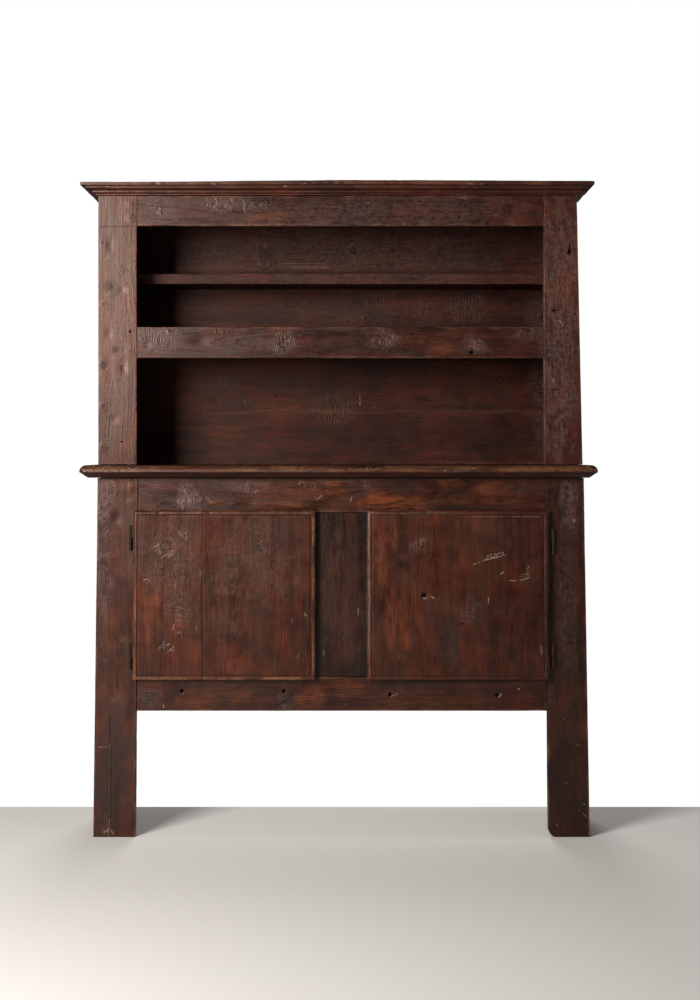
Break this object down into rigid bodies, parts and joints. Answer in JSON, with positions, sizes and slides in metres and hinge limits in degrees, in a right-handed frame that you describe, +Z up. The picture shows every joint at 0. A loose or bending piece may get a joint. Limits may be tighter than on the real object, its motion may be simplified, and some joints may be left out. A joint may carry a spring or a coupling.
{
  "type": "dresser",
  "caption": "Rustic wooden dresser: an open plate rack with a plain shelf and a railed shelf on a cupboard with overlapping plank doors and tall plain feet.",
  "frame": {"origin": "on the floor, halfway between the ends of the worktop and halfway between its front and back edges", "axes": "+Z up, -Y out of the front, +X to the right as seen from the front"},
  "size_m": [1.394, 0.373, 1.7724],
  "materials": {
    "case_wood": "dark red-brown stained softwood, waxed and worn",
    "door_wood": "red-brown stained softwood, waxed, worn lighter on the edges",
    "worktop_wood": "waxed softwood, rubbed to a warm brown on the nose",
    "inner_wood": "dull dark stained softwood",
    "repair_wood": "stained softwood patch, raw along the joint",
    "peg_wood": "dark split hardwood",
    "dark_iron": "old forged iron, dull black"
  },
  "bodies": {
    "case": {"back_nails": "dark_iron", "base_back_lower": "inner_wood", "base_back_middle": "inner_wood", "base_back_upper": "inner_wood", "base_bottom_rail": "case_wood", "base_centre_board": "case_wood", "base_side_left": "case_wood", "base_side_right": "case_wood", "base_stile_left": "case_wood", "base_stile_right": "case_wood", "base_top_rail": "case_wood", "cornice_front": "case_wood", "cornice_left": "case_wood", "cornice_right": "case_wood", "cupboard_floor_front": "inner_wood", "cupboard_floor_rear": "inner_wood", "floor_cleat_left": "inner_wood", "floor_cleat_right": "inner_wood", "foot_splice": "repair_wood", "frame_nails": "dark_iron", "gallery_rail": "case_wood", "hinge_nails": "dark_iron", "hinge_pins": "dark_iron", "left_lower_hinge_frame_blade": "dark_iron", "left_upper_hinge_frame_blade": "dark_iron", "lower_shelf": "case_wood", "rack_back_highest": "inner_wood", "rack_back_lower": "inner_wood", "rack_back_lowest": "inner_wood", "rack_back_upper": "inner_wood", "rack_dowels": "peg_wood", "rack_side_left": "case_wood", "rack_side_right": "case_wood", "rack_stile_left": "case_wood", "rack_stile_right": "case_wood", "rack_top_rail": "case_wood", "rail_pegs": "peg_wood", "right_lower_hinge_frame_blade": "dark_iron", "right_upper_hinge_frame_blade": "dark_iron", "side_nails": "dark_iron", "top_board": "inner_wood", "top_nails": "dark_iron", "upper_shelf": "case_wood", "worktop_front_board": "worktop_wood", "worktop_rear_board": "worktop_wood"},
    "left_door": {"left_door_closing_plank": "door_wood", "left_door_hinge_plank": "door_wood", "left_door_lower_ledge": "door_wood", "left_door_nails": "dark_iron", "left_door_upper_ledge": "door_wood", "left_lower_hinge_door_blade": "dark_iron", "left_upper_hinge_door_blade": "dark_iron"},
    "right_door": {"right_door_closing_plank": "door_wood", "right_door_hinge_plank": "door_wood", "right_door_lower_ledge": "door_wood", "right_door_nails": "dark_iron", "right_door_upper_ledge": "door_wood", "right_lower_hinge_door_blade": "dark_iron", "right_upper_hinge_door_blade": "dark_iron"}
  },
  "joints": [
    {"name": "left_door_hinge", "type": "hinge", "parent": "case", "child": "left_door", "pos_m": [-0.56151, -0.1435, 0.654], "axis": [0, 0, -1], "range_deg": [0, 115]},
    {"name": "right_door_hinge", "type": "hinge", "parent": "case", "child": "right_door", "pos_m": [0.57848, -0.1435, 0.654], "axis": [0, 0, 1], "range_deg": [0, 125]}
  ]
}
